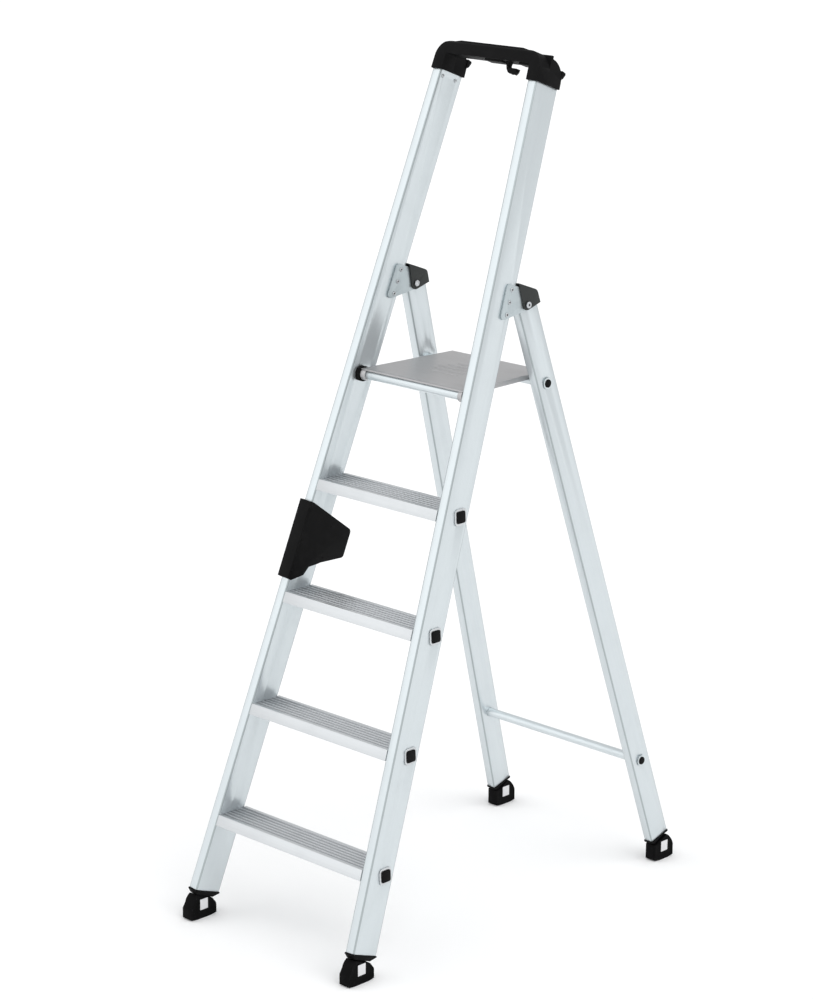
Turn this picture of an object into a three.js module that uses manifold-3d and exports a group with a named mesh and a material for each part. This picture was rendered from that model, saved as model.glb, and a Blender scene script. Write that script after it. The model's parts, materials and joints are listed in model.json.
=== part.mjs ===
// Platform step ladder that folds flat: two leaning front stiles with four treads, a platform
// hinged between them, a guard rail above it with a plastic bow on top, and a rear frame on
// two pivot bolts. Millimetres. X runs across, -Y is the climbing side, +Z is up, and the
// origin is on the floor in the middle of the four shoes.
import * as THREE from 'three';
import { mergeVertices } from 'three/addons/utils/BufferGeometryUtils.js';
import Module from 'manifold-3d';

const wasm = await Module();
wasm.setup();

const radians = THREE.MathUtils.degToRad;

// Driving dimensions. "Along" is measured up the stile from the floor, "depth" is measured
// square to it from its front face towards the rear.
const play = 0.3;
const cornerSides = 2;
const stileLean = radians(20.17);
const legLean = radians(16.89);
const stileSplay = radians(3.28);
const legSplay = radians(3.5);

const stileWidth = 24;
const stileDepth = 70;
const stileWall = 1.8;
const stileCorner = 3;
const stileStart = 74.2;
const stileEnd = 1922;
const floorHalfWidth = 256.5;

const legWidth = 22;
const legFront = -20.3;
const legRear = 35.2;
const legWall = 1.6;
const legTop = 12;
const legBottom = -1328.5;

const pivotAlong = 1453.2;
const pivotDepth = 108.5;
const boltRadius = 4;
const boltHeadRadius = 7.2;
const boltHeadHeight = 5;
const nutHeight = 2.6;

const stepCount = 4;
const firstStepTop = 228;
const stepRise = 235;
const stepDepth = 78;
const stepLip = 22;
const stepSheet = 3.6;
const ribHeight = 1.7;
const ribWidth = 3;
const ribCount = 5;
const ribPitch = 10.8;
const stepTube = 28;
const stepTubeWall = 2;
const stepTubeBack = 41.7;
const stepTubeDrop = 18.1;
const collarSize = 35;
const collarThickness = 1.8;

const bowStart = 1899.4;
const bowTop = 1961.5;
const bowWall = 3;
const bowBarUnder = 1934;
const bowBarDepth = 34;
const bowBarRaise = 3.2;
const bowRim = [30, 36];

const plateThickness = 3;
const plateFront = -61;
const plateLow = -38;
const plateHigh = 20;
const plateCorner = 9;
const plateEye = 13;
const rivetDepth = 55.5;
const rivetSpacing = 26.6;
const capCheek = 2.5;
const capRunning = 1.1;
const capToe = radians(1.07);

const platformTop = 1163;
const platformSheet = 3;
const platformFlange = 11;
const platformNose = 13.3;
const platformFrontHalf = 149;
const platformRearHalf = 136;
const platformReach = 257.7;
const platformEar = 13;
const platformOverhang = 9.5;
const platformHingeY = 453;
const tubeRadius = 10;
const tubeWall = 1.5;
const tubeInBush = 8.5;
const bushDepth = 30;
const bushHeight = 32.5;
const bushCorner = 11;

const crossTubeDrop = -187;
const crossBarDrop = -1126.4;
const tubeRim = 12.4;
const tubeRimThickness = 1.3;
const plugHead = 8.7;

const shoeWidth = 28.4;
const shoePivotHeight = 36;
const soleRise = 2.7;
// Reach of each shoe from its joint towards its high and low ends, and the outline of both
// ends as inset from the end and height above the floor
const frontShoe = {
  high: 41,
  low: 31,
  windowShift: 4.4,
  highEnd: [[0, 25], [4, 31], [8, 38], [9.5, 43], [14.5, 49.3], [20.5, 54.1]],
  lowEnd: [[11.4, 38.8], [5.3, 31], [0.8, 25], [0, 20]],
};
const rearShoe = {
  high: 37,
  low: 25,
  windowShift: 6.2,
  highEnd: [[0, 28], [2, 34], [6, 41], [13.5, 50], [18, 54], [23, 57]],
  lowEnd: [[6, 40], [1.2, 39.6], [0, 38]],
};
const clipWindow = { width: 22, height: 24.3, thickness: 1.6, bottom: 19.2 };

// Values that follow from the driving dimensions
const stileCentre = floorHalfWidth - stileWidth / 2 / Math.cos(stileSplay);
const legMiddle = (legFront + legRear) / 2;
const legDepth = legRear - legFront;
const pivot = pointOnStile(pivotAlong, pivotDepth);
const pivotX = stileCentre - Math.tan(stileSplay) * pivotAlong;
const platformHingeZ = platformTop - platformNose;
const frontShoePivot = onMember(stileDepth / 2, stileLean, 0, 0);
const rearShoePivot = onMember(legMiddle, -legLean, pivot.y, pivot.z);
const frontEdge = frontShoePivot.y - frontShoe.high;
const rearEdge = rearShoePivot.y + rearShoe.high;
const footprintMiddle = (frontEdge + rearEdge) / 2;

// World position of a point given along and across the stile
function pointOnStile(along, depth) {
  const y = along * Math.sin(stileLean) + depth * Math.cos(stileLean);
  const z = along * Math.cos(stileLean) - depth * Math.sin(stileLean);
  return { y, z };
}

// Where the line inside a leaning member is at the height of the shoe joint
function onMember(depth, lean, originY, originZ) {
  const height = shoePivotHeight - originZ;
  const along = (height + depth * Math.sin(lean)) / Math.cos(lean);
  const y = originY + along * Math.sin(lean) + depth * Math.cos(lean);
  return { along, y, z: shoePivotHeight };
}

// Length up a splayed member for a length up the ladder's middle
function up(along, splay = stileSplay) {
  return along / Math.cos(splay);
}

// Booleans on closed geometries
function toSolid(geometry) {
  const bare = geometry.clone();
  bare.deleteAttribute('normal');
  bare.deleteAttribute('uv');
  const merged = mergeVertices(bare, 1e-4);
  const vertProperties = new Float32Array(merged.attributes.position.array);
  const triVerts = new Uint32Array(merged.index.array);
  return new wasm.Manifold(new wasm.Mesh({ numProp: 3, vertProperties, triVerts }));
}

function toGeometry(solid) {
  const mesh = solid.getMesh();
  const geometry = new THREE.BufferGeometry();
  geometry.setAttribute('position', new THREE.BufferAttribute(mesh.vertProperties, 3));
  geometry.setIndex(new THREE.BufferAttribute(mesh.triVerts, 1));
  return geometry;
}

function cut(base, ...tools) {
  return toGeometry(tools.reduce((solid, tool) => solid.subtract(toSolid(tool)), toSolid(base)));
}

function join(first, ...others) {
  return toGeometry(others.reduce((solid, part) => solid.add(toSolid(part)), toSolid(first)));
}

function common(first, ...others) {
  return toGeometry(others.reduce((solid, part) => solid.intersect(toSolid(part)), toSolid(first)));
}

// Outlines
function outline(points) {
  return new THREE.Shape(points.map(([x, y]) => new THREE.Vector2(x, y)));
}

function arcPoints(x, y, radius, from = 0, to = 360, count = 12) {
  const points = [];
  const full = to - from === 360;
  for (let i = 0; i < count + (full ? 0 : 1); i += 1) {
    const angle = radians(from + ((to - from) * i) / count);
    points.push([x + radius * Math.cos(angle), y + radius * Math.sin(angle)]);
  }
  return points;
}

function disc(radius, count = 16, x = 0, y = 0) {
  return outline(arcPoints(x, y, radius, 0, 360, count));
}

function roundedRect(width, height, radius, x = 0, y = 0) {
  const dx = width / 2 - radius;
  const dy = height / 2 - radius;
  return outline([
    ...arcPoints(x + dx, y + dy, radius, 0, 90, cornerSides),
    ...arcPoints(x - dx, y + dy, radius, 90, 180, cornerSides),
    ...arcPoints(x - dx, y - dy, radius, 180, 270, cornerSides),
    ...arcPoints(x + dx, y - dy, radius, 270, 360, cornerSides),
  ]);
}

// Outline of a string pulled tight round the given points
function hull(points) {
  const sorted = [...points].sort((a, b) => a[0] - b[0] || a[1] - b[1]);
  const turn = (a, b, c) => (b[0] - a[0]) * (c[1] - a[1]) - (b[1] - a[1]) * (c[0] - a[0]);
  const half = (list) => {
    const chain = [];
    for (const point of list) {
      while (chain.length > 1 && turn(chain.at(-2), chain.at(-1), point) < 1e-6) chain.pop();
      chain.push(point);
    }
    return chain.slice(0, -1);
  };
  return outline([...half(sorted), ...half(sorted.reverse())]);
}

function ringSector(inner, outer, from, to, count) {
  const far = arcPoints(0, 0, outer, from, to, count);
  const near = arcPoints(0, 0, inner, from, to, count);
  return outline([...far, ...near.reverse()]);
}

// Extrusions. The outline's two axes become Y and Z, or X and Z, or X and Y.
function extrude(shape, length) {
  return new THREE.ExtrudeGeometry(shape, { depth: length, bevelEnabled: false, curveSegments: 4 });
}

function turned(geometry, xAxis, yAxis, zAxis) {
  return geometry.applyMatrix4(new THREE.Matrix4().makeBasis(
    new THREE.Vector3(...xAxis), new THREE.Vector3(...yAxis), new THREE.Vector3(...zAxis)));
}

function acrossX(shape, from, to) {
  const [low, high] = from < to ? [from, to] : [to, from];
  return turned(extrude(shape, high - low), [0, 1, 0], [0, 0, 1], [1, 0, 0]).translate(low, 0, 0);
}

function throughY(shape, from, to) {
  return turned(extrude(shape, to - from), [1, 0, 0], [0, 0, 1], [0, -1, 0]).translate(0, to, 0);
}

function upZ(shape, from, to) {
  return extrude(shape, to - from).translate(0, 0, from);
}

function block(x0, x1, y0, y1, z0, z1) {
  const box = new THREE.BoxGeometry(Math.abs(x1 - x0), y1 - y0, z1 - z0);
  return box.translate((x0 + x1) / 2, (y0 + y1) / 2, (z0 + z1) / 2);
}

// Frames of the two leaning planes and of the members in them
function matrixOf(position, rotationX, rotationY) {
  const turnX = new THREE.Matrix4().makeRotationX(rotationX);
  const turnY = new THREE.Matrix4().makeRotationY(rotationY);
  const shift = new THREE.Matrix4().makeTranslation(...position);
  return { turnX, turnY, shift };
}

function stileMatrix(side) {
  const { turnX, turnY, shift } = matrixOf([side * stileCentre, 0, 0], -stileLean, -side * stileSplay);
  return turnX.multiply(shift).multiply(turnY);
}

function legMatrix(side) {
  const { turnX, turnY, shift } = matrixOf([side * pivotX, 0, 0], legLean, -side * legSplay);
  const move = new THREE.Matrix4().makeTranslation(0, pivot.y, pivot.z);
  return move.multiply(turnX).multiply(shift).multiply(turnY);
}

// The caps sit half way between the planes of the stile and the leg, which differ by the
// toe that the splay gives them when the ladder is open
function capMatrix(side) {
  return legMatrix(side).multiply(new THREE.Matrix4().makeRotationZ(side * capToe));
}

function levelMatrix(x, y, z) {
  return new THREE.Matrix4().makeTranslation(x, y, z);
}

// A geometry drawn in one frame, expressed in another
function between(geometry, from, to) {
  return geometry.applyMatrix4(to.clone().invert().multiply(from));
}

// Materials
const materials = {
  anodised: new THREE.MeshStandardMaterial({ color: 0xd3dbde, roughness: 0.38, metalness: 0.85 }),
  tread: new THREE.MeshStandardMaterial({ color: 0xbfc4c6, roughness: 0.42, metalness: 0.9 }),
  sheet: new THREE.MeshStandardMaterial({ color: 0xa5a5a4, roughness: 0.5, metalness: 0.85 }),
  zinc: new THREE.MeshStandardMaterial({ color: 0xb2c1c1, roughness: 0.45, metalness: 0.9 }),
  steel: new THREE.MeshStandardMaterial({ color: 0xc9cccd, roughness: 0.3, metalness: 1 }),
  black: new THREE.MeshStandardMaterial({ color: 0x181818, roughness: 0.55, metalness: 0 }),
  grey: new THREE.MeshStandardMaterial({ color: 0x3a3d3d, roughness: 0.5, metalness: 0 }),
  rubber: new THREE.MeshStandardMaterial({ color: 0x141414, roughness: 0.75, metalness: 0 }),
  light: new THREE.MeshStandardMaterial({ color: 0xd7d9da, roughness: 0.5, metalness: 0 }),
};

function named(name, geometry, material) {
  const mesh = new THREE.Mesh(geometry, materials[material]);
  mesh.name = name;
  return mesh;
}

const sides = [['left', -1], ['right', 1]];

// Level frame of a tread: the origin is on its top front edge
function stepMatrix(index) {
  const top = firstStepTop + index * stepRise;
  return levelMatrix(0, top * Math.tan(stileLean), top);
}

// Space between the outer faces of the two stiles, grown by the given amount on each side
function stileWedge(grow) {
  const low = floorHalfWidth + grow;
  const high = low - Math.tan(stileSplay) * stileEnd;
  const shape = outline([[-low, 0], [low, 0], [high, stileEnd], [-high, stileEnd]]);
  return throughY(shape, -60, stileDepth + 80).applyMatrix4(frontPlaneMatrix());
}

// Square tube outline of a tread, grown by the given amount
function stepTubeOutline(grow, radius) {
  const size = stepTube + 2 * grow;
  return roundedRect(size, size, radius, stepTubeBack, -stepTubeDrop);
}

function stepProfile() {
  const slope = Math.tan(stileLean);
  const lipThickness = 2.7;
  const tubeFront = stepTubeBack - stepTube / 2;
  const tubeRear = stepTubeBack + stepTube / 2;
  const tubeBottom = -stepTubeDrop - stepTube / 2;
  const rearLip = 15;
  const ribbed = (ribCount + 1) * ribPitch - ribWidth;
  const points = [[0, 0]];
  for (let i = 0; i <= ribCount; i += 1) {
    const start = (stepDepth - ribbed) / 2 + i * ribPitch;
    const end = start + ribPitch - ribWidth;
    points.push([start, 0], [start, -ribHeight], [end, -ribHeight], [end, 0]);
  }
  points.push([stepDepth, 0], [stepDepth, -rearLip]);
  points.push([stepDepth - lipThickness, -rearLip], [stepDepth - lipThickness, -stepSheet]);
  points.push([tubeRear, -stepSheet], [tubeRear, tubeBottom]);
  points.push([tubeFront, tubeBottom], [tubeFront, -stepSheet]);
  points.push([lipThickness - stepSheet * slope, -stepSheet]);
  points.push([lipThickness - stepLip * slope, -stepLip], [-stepLip * slope, -stepLip]);
  return outline(points);
}

// One tread: ribbed profile between the stiles, its square tube through both of them, and the
// flared rim that grips each stile from outside
function step(index) {
  const frame = stepMatrix(index);
  const reach = 300;
  const inner = between(stileWedge(-stileWidth - play), new THREE.Matrix4(), frame);
  const tread = common(acrossX(stepProfile(), -reach, reach), inner);
  const outer = between(stileWedge(play + collarThickness), new THREE.Matrix4(), frame);
  const tube = common(acrossX(stepTubeOutline(0, 4), -reach, reach), outer);
  const collars = sides.map(([, side]) => {
    const start = side * (stileWidth / 2 + play);
    const end = start + side * collarThickness;
    const rim = acrossX(roundedRect(collarSize, collarSize, 8), start, end);
    return between(rim, stepHubMatrix(index, side), frame);
  });
  const bore = acrossX(stepTubeOutline(-stepTubeWall, 3), -reach, reach);
  return cut(join(tread, tube, ...collars), bore);
}

// Frame on a stile's middle plane where a tread's tube crosses it, level but splayed
function stepHubMatrix(index, side) {
  const top = firstStepTop + index * stepRise;
  const y = top * Math.tan(stileLean) + stepTubeBack;
  const z = top - stepTubeDrop;
  const along = y * Math.sin(stileLean) + z * Math.cos(stileLean);
  const depth = y * Math.cos(stileLean) - z * Math.sin(stileLean);
  const level = new THREE.Matrix4().makeRotationX(stileLean);
  return stileMatrix(side).multiply(levelMatrix(0, depth, up(along))).multiply(level);
}

// Plastic plug that closes a tread's tube: a thin head on the rim and a body in the bore
function stepPlug(side) {
  const face = side * (stileWidth / 2 + 2 * play + collarThickness);
  const head = acrossX(roundedRect(25.5, 25.5, 4), face, face + side * 1.6);
  const body = acrossX(roundedRect(21, 21, 3), face + side * 0.5, face - side * 12);
  return join(head, body);
}

function stile(side) {
  const frame = stileMatrix(side);
  const inside = stileWall * 2;
  const section = roundedRect(stileWidth, stileDepth, stileCorner, 0, stileDepth / 2);
  const skin = upZ(section, up(stileStart), up(stileEnd));
  const hollow = roundedRect(stileWidth - inside, stileDepth - inside, stileCorner - 1, 0, stileDepth / 2);
  const tools = [upZ(hollow, up(stileStart) - 5, up(stileEnd) + 5)];
  for (let i = 0; i < stepCount; i += 1) {
    tools.push(between(acrossX(stepTubeOutline(play, 4.3), side * 80, side * 320), stepMatrix(i), frame));
  }
  for (const along of rivetRows()) {
    tools.push(acrossX(disc(2.7, 8, rivetDepth, up(along)), -20, 20));
  }
  for (const depth of bowRivetDepths) {
    tools.push(acrossX(disc(2.7, 8, depth, up(bowRivetAlong)), 0, -side * 20));
  }
  return cut(skin, ...tools);
}

// The three rivets through each pair of hinge plates
function rivetRows() {
  const middle = pivotAlong - 7.9;
  return [middle + rivetSpacing, middle, middle - rivetSpacing];
}

const bowRivetAlong = 1888;
const bowRivetDepths = [11.8, 52.2];

// Blind rivet below the bow, in the stile's inner wall
function bowRivet(side) {
  const face = stileWidth / 2 + play;
  const head = acrossX(disc(3.8, 10), -side * face, -side * (face + 1.6));
  const shank = acrossX(disc(2.4, 8), -side * (face + 0.5), -side * (face - 7));
  return join(head, shank);
}

function hingePlate(side, face) {
  const start = face * (stileWidth / 2 + play);
  const shape = hull([
    ...arcPoints(plateFront, plateLow, plateCorner),
    ...arcPoints(plateFront, plateHigh, plateCorner),
    ...arcPoints(plateFront + 25, plateHigh, plateCorner),
    ...arcPoints(0, 0, plateEye, 0, 360, 20),
  ]);
  const sheet = acrossX(shape, start, start + face * plateThickness);
  const body = sheet.translate(0, pivotDepth, up(pivotAlong));
  const holes = rivetRows().map((along) => acrossX(disc(2.7, 8, rivetDepth, up(along)), -30, 30));
  const eye = acrossX(disc(boltRadius + 0.5, 16), -60, 60);
  const eyeFrame = levelMatrix(side * pivotX, pivot.y, pivot.z);
  return cut(body, ...holes, between(eye, eyeFrame, stileMatrix(side)));
}

// Rivet through both hinge plates and the stile between them
function hingeRivet() {
  const face = stileWidth / 2 + 2 * play + plateThickness;
  const shank = acrossX(disc(2.4, 8), -face - 0.5, face + 0.5);
  const heads = [-1, 1].map((end) => acrossX(disc(4.6, 14), end * face, end * (face + 1.6)));
  return join(shank, ...heads);
}

// Cover over the top of a rear leg: two cheeks outside the hinge plates joined by a top that
// comes to rest on the stile's rear face when the ladder is open
function hingeCap(side) {
  const opening = stileLean + legLean;
  const ridge = 35.7;
  const stopGap = 0.9;
  const noseAlong = stileDepth + stopGap - pivotDepth;
  const nose = [
    ridge * Math.sin(opening) + noseAlong * Math.cos(opening),
    ridge * Math.cos(opening) - noseAlong * Math.sin(opening),
  ];
  const outside = hull([
    ...arcPoints(0, 0, 12.8, 0, 360, 20),
    nose,
    ...arcPoints(25.3, 9.5, 13, 0, 360, 20),
    [38.3, -12.8],
  ]);
  const wall = 2.5;
  const far = 70;
  const inside = hull([
    [(ridge - wall) * Math.sin(opening) - far * Math.cos(opening),
      (ridge - wall) * Math.cos(opening) + far * Math.sin(opening)],
    ...arcPoints(25.3, 9.5, 13 - wall, 0, 360, 20),
    [38.3 - wall, -40],
    [-far, -40],
  ]);
  const cavity = stileWidth / 2 + play + plateThickness + capRunning;
  const outer = acrossX(outside, -cavity - capCheek, cavity + capCheek);
  const hole = acrossX(disc(boltRadius + 0.5, 16), -60, 60);
  const holeFrame = levelMatrix(side * pivotX, pivot.y, pivot.z);
  return cut(outer, acrossX(inside, -cavity, cavity), between(hole, holeFrame, capMatrix(side)));
}

// Face of the hinge cap on the pivot line, with room for the splay under a bolt head
function capFace() {
  return (stileWidth / 2 + play + plateThickness + capRunning + capCheek) / Math.cos(legSplay) + 0.8;
}

function pivotBolt(side) {
  const face = capFace();
  const end = face + nutHeight - play;
  const shank = acrossX(disc(boltRadius, 16), -side * end, side * (face + 1));
  const head = acrossX(disc(boltHeadRadius, 20), side * face, side * (face + boltHeadHeight));
  const socket = acrossX(disc(2.9, 6), side * (face + 2), side * (face + boltHeadHeight + 1));
  return cut(join(shank, head), socket);
}

// Low nut on the inner side, where the platform swings past
function lockNut(side) {
  const face = -side * capFace();
  const nut = acrossX(disc(boltHeadRadius, 6), face, face - side * nutHeight);
  return cut(nut, acrossX(disc(boltRadius + play, 16), -60, 60));
}

function leg(side) {
  const frame = legMatrix(side);
  const bottom = up(legBottom, legSplay);
  const skin = upZ(roundedRect(legWidth, legDepth, 2.5, 0, legMiddle), bottom, legTop);
  const hollow = roundedRect(legWidth - 2 * legWall, legDepth - 2 * legWall, 1.5, 0, legMiddle);
  const bore = acrossX(disc(boltRadius + 0.5, 16), -60, 60);
  const boreFrame = levelMatrix(side * pivotX, pivot.y, pivot.z);
  const tubes = [crossTubeDrop, crossBarDrop].map((drop) => {
    const hole = acrossX(disc(tubeRadius + play, 20, legMiddle, drop), -320, 320);
    return between(hole, rearPlaneMatrix(), frame);
  });
  return cut(skin, upZ(hollow, bottom - 5, legTop + 5), between(bore, boreFrame, frame), ...tubes);
}

// Frame of the rear legs' plane, with its origin on the pivot line
function rearPlaneMatrix() {
  return levelMatrix(0, pivot.y, pivot.z).multiply(new THREE.Matrix4().makeRotationX(legLean));
}

// Half length of a cross tube: through the legs and just proud of their outer faces
function crossTubeHalf(drop) {
  return pivotX - drop * Math.tan(legSplay) + legWidth / 2 + 2.5;
}

// Tube through both rear legs, with its ends flared to a rim outside them
function crossTube(drop) {
  const half = crossTubeHalf(drop);
  const outside = acrossX(disc(tubeRadius, 20), -half, half);
  const rims = [-1, 1].map((end) => (
    acrossX(disc(tubeRim, 24), end * (half - tubeRimThickness), end * half)));
  return cut(join(outside, ...rims), acrossX(disc(tubeRadius - tubeWall, 16), -half - 5, half + 5));
}

function tubePlug(side) {
  const head = acrossX(disc(plugHead, 20), side * play, side * (play + 1.3));
  const body = acrossX(disc(tubeRadius - tubeWall - 0.6, 12), side * (play + 0.5), -side * 12);
  return join(head, body);
}

// Flat outline of the platform, inset by the given amount at the sides and the rear
function platformOutline(inset, front) {
  const taper = (platformFrontHalf - platformRearHalf) / platformReach;
  const rear = platformReach - inset;
  const half = (y) => platformFrontHalf - taper * y - inset;
  return outline([[-half(front), front], [half(front), front], [half(rear), rear], [-half(rear), rear]]);
}

// Bent sheet platform: tray with shallow flanges, a lip over the hinge tube, an ear rolled
// round the tube at each end and a slot at the rear that drops over the cross tube
function platform() {
  const under = platformNose - platformSheet;
  const tray = upZ(platformOutline(0, 0), platformNose - platformFlange, platformNose);
  const dish = upZ(platformOutline(platformSheet, -20), -40, under);
  const lip = block(-platformFrontHalf, platformFrontHalf, -platformOverhang, 1, under, platformNose);
  const ears = sides.flatMap(([, side]) => {
    const end = side * platformFrontHalf;
    const strip = acrossX(ringSector(under, platformNose, 88, 250, 12), end - side * platformEar, end);
    const cheek = acrossX(disc(platformNose, 24), end - side * platformSheet, end);
    return [strip, cheek];
  });
  const slotCentre = crossTubeAt(0);
  const slot = hull([
    ...arcPoints(slotCentre.y, slotCentre.z, tubeRadius + 0.5, 0, 360, 20),
    [slotCentre.y - 26, -30],
    [slotCentre.y + 14, -30],
  ]);
  const hingeBore = acrossX(disc(tubeRadius + play, 20), -200, 200);
  const body = join(cut(tray, dish), lip, ...ears);
  return cut(body, hingeBore, acrossX(slot, -200, 200));
}

// Middle of the upper cross tube, seen from the platform's hinge
function crossTubeAt(x) {
  const local = new THREE.Vector3(x, legMiddle, crossTubeDrop).applyMatrix4(rearPlaneMatrix());
  return { y: local.y - platformHingeY, z: local.z - platformHingeZ };
}

function platformTube() {
  const half = platformFrontHalf + tubeInBush;
  const outside = acrossX(disc(tubeRadius, 20), -half, half);
  return cut(outside, acrossX(disc(tubeRadius - tubeWall, 16), -half - 5, half + 5));
}

// Plastic bush between the platform's ear and the stile, open towards the ear
function bush(side) {
  const frame = levelMatrix(0, platformHingeY, platformHingeZ);
  const start = side * (platformFrontHalf + 0.5);
  const wedge = between(stileWedge(-stileWidth - play), new THREE.Matrix4(), frame);
  const blank = acrossX(roundedRect(bushDepth, bushHeight, bushCorner), start, side * 190);
  const body = common(blank, wedge);
  const boreEnd = side * (platformFrontHalf + tubeInBush + play);
  const bore = acrossX(disc(tubeRadius + play, 20), side * 100, boreEnd);
  return cut(body, bore);
}

// Faces of the bow's sleeves at a height along the stiles
function bowOuter(along) {
  return floorHalfWidth - Math.tan(stileSplay) * along + bowWall;
}

function bowInner(along) {
  return floorHalfWidth - Math.tan(stileSplay) * along - stileWidth - bowWall;
}

// Slice of the bow seen from the front, given the top of its right half
function bowSlice(corner, from, to) {
  const fillet = 4;
  const x = bowInner(bowBarUnder) - fillet;
  const half = [
    ...arcPoints(x, bowBarUnder - fillet, fillet, 90, 0, 3),
    [bowInner(bowStart), bowStart],
    [bowOuter(bowStart), bowStart],
    ...corner,
  ];
  return throughY(outline([...half, ...half.map(([px, z]) => [-px, z]).reverse()]), from, to);
}

// Plastic bow in the plane of the stiles: a sleeve over each stile end and a hand bar across.
// Its top corners are round in front of the bar and square behind it.
function bow() {
  const shoulder = 37;
  const sweep = 40;
  const back = stileDepth + bowWall;
  const arm = bowTop - shoulder;
  const corner = arcPoints(bowOuter(arm) - shoulder, arm, shoulder, 0, 90, 8);
  const round = bowSlice(corner, -bowWall, bowRim[0] + 1);
  const square = bowSlice([[bowOuter(bowTop) - 1, bowTop]], bowRim[0], back);
  const flank = outline([
    [-bowWall, bowStart - 10],
    [back, bowStart - 10],
    ...arcPoints(back - sweep, bowTop - 6.5 - sweep, sweep, 0, 86, 9),
    [bowRim[1], bowTop - 0.5],
    [-bowWall + 4, bowTop],
    [-bowWall, bowTop - 4],
  ]);
  const solid = common(join(round, square), acrossX(flank, -300, 300));
  const clear = bowInner(bowStart);
  const openBack = block(-clear, clear, bowBarDepth, back + 20, bowStart - 20, bowTop + 20);
  const ridge = throughY(outline([
    [-118, bowTop - 2], [118, bowTop - 2], [88, bowTop + bowBarRaise], [-88, bowTop + bowBarRaise],
  ]), 2, bowBarDepth - 1);
  const pads = [[-12, 37], [84, 116]].map(([from, to]) => (
    block(from, to, 4, bowBarDepth - 5, bowBarUnder - 4, bowBarUnder + 2)));
  const catches = sides.map(([, side]) => acrossX(outline([
    [back - 3, 1939], [back + 8, 1937], [back + 9, 1933], [back + 4, 1924], [back - 3, 1919],
  ]), side * bowInner(1930), side * bowOuter(1930)));
  const socket = roundedRect(
    stileWidth + 2 * play, stileDepth + 2 * play, stileCorner, 0, stileDepth / 2);
  const sockets = sides.map(([, side]) => (
    between(upZ(socket, up(bowStart) - 20, up(stileEnd) + play), stileMatrix(side), frontPlaneMatrix())));
  return cut(join(cut(solid, openBack), ridge, ...pads, bagHook(), ...catches), ...sockets);
}

function frontPlaneMatrix() {
  return new THREE.Matrix4().makeRotationX(-stileLean);
}

// Hook under the hand bar for a bag or a bucket
function bagHook() {
  const top = bowBarUnder + 2;
  const shape = outline([
    [43, top], [54, top], [52.5, 1926], [54.5, 1921.5], [78, 1921], [77, 1914], [72, 1908.5],
    [66, 1910], [62, 1909], [56, 1911], [50, 1918],
  ]);
  return throughY(shape, 9, 21);
}

// Grip pad wrapped round the front of one stile, with a wing on the inner side that also
// reaches past the folded rear leg
function gripPad(side) {
  const wing = hull([...arcPoints(127, 897, 10, 0, 360, 16), ...arcPoints(129, 848, 8, 0, 360, 16),
    [-9, 944], [2, 944], [-9, 860], [70, 819.5]]);
  const tail = outline([[-9, 900], [70, 900], [72, 819.5], [43, 806.5], [34, 787], [2, 771], [-9, 773]]);
  const inner = -side * (stileWidth / 2 + play + 4.2);
  const outer = side * (stileWidth / 2 + play + 3.5);
  const body = join(acrossX(wing, inner, outer), acrossX(tail, inner, outer));
  const channel = block(-stileWidth / 2 - play, stileWidth / 2 + play, -play, 300, 700, 1000);
  const outerFace = side * (stileWidth / 2 + play);
  const outerTrim = block(outerFace - side * 1, outerFace + side * 20, 52, 300, 700, 1000);
  return cut(body, channel, outerTrim).scale(1, 1, 1 / Math.cos(stileSplay));
}

// Insert in the end of a member: a plug in its bore, a flange and a saddle under its end, and a
// tongue with two stub axles that carries the shoe. The saddle's underside is given as points
// across and above the shoe's joint, which leave the shoe room to tilt.
function footInsert(member) {
  const { width, depth, wall, middle, end, saddle, frame, pivotFrame, along } = member;
  const inside = 2 * wall + 0.6;
  const body = upZ(roundedRect(width - inside, depth - inside, 1.5, 0, middle), end - 2, end + 30);
  const flange = upZ(roundedRect(width + 3, depth + 3, 3, 0, middle), end - play - 3.4, end - play);
  const under = end - play - 3.2;
  const saddleShape = outline([
    [middle - depth / 2 - 1, under], [middle + depth / 2 + 1, under],
    ...saddle.map(([across, rise]) => [middle + across, along + rise]),
  ]);
  const skirt = acrossX(saddleShape, -width / 2 + 0.5, width / 2 - 0.5);
  const tongueShape = hull([
    ...arcPoints(middle, along, 10, 0, 360, 16),
    [middle - 15, end - play - 4],
    [middle + 15, end - play - 4],
  ]);
  const tongue = acrossX(tongueShape, -4.8, 4.8);
  const axle = between(acrossX(disc(4, 14), -9.5, 9.5), pivotFrame, frame);
  return join(body, flange, skirt, tongue, axle);
}

// Rubber-soled shoe in its own level frame, with its joint at the origin. "Toward" is +1 where
// the member's end is higher at the rear, and -1 where it is higher at the front.
function shoe(size, toward) {
  const floor = -shoePivotHeight;
  const half = shoeWidth / 2;
  const { high, low, highEnd, lowEnd } = size;
  const profile = [
    [-low, floor + soleRise], [-low + 17, floor], [high - 17, floor], [high, floor + soleRise],
    ...highEnd.map(([inset, z]) => [high - inset, floor + z]),
    ...lowEnd.map(([inset, z]) => [inset - low, floor + z]),
  ].map(([q, z]) => [toward * q, z]);
  const body = acrossX(outline(profile), -half, half);
  const slot = block(-6.6, 6.6, -17, 17, floor + 25, 60);
  const bore = acrossX(disc(4.4, 14), -10, 10);
  return cut(body, slot, bore, clip(size, toward, play));
}

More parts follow.
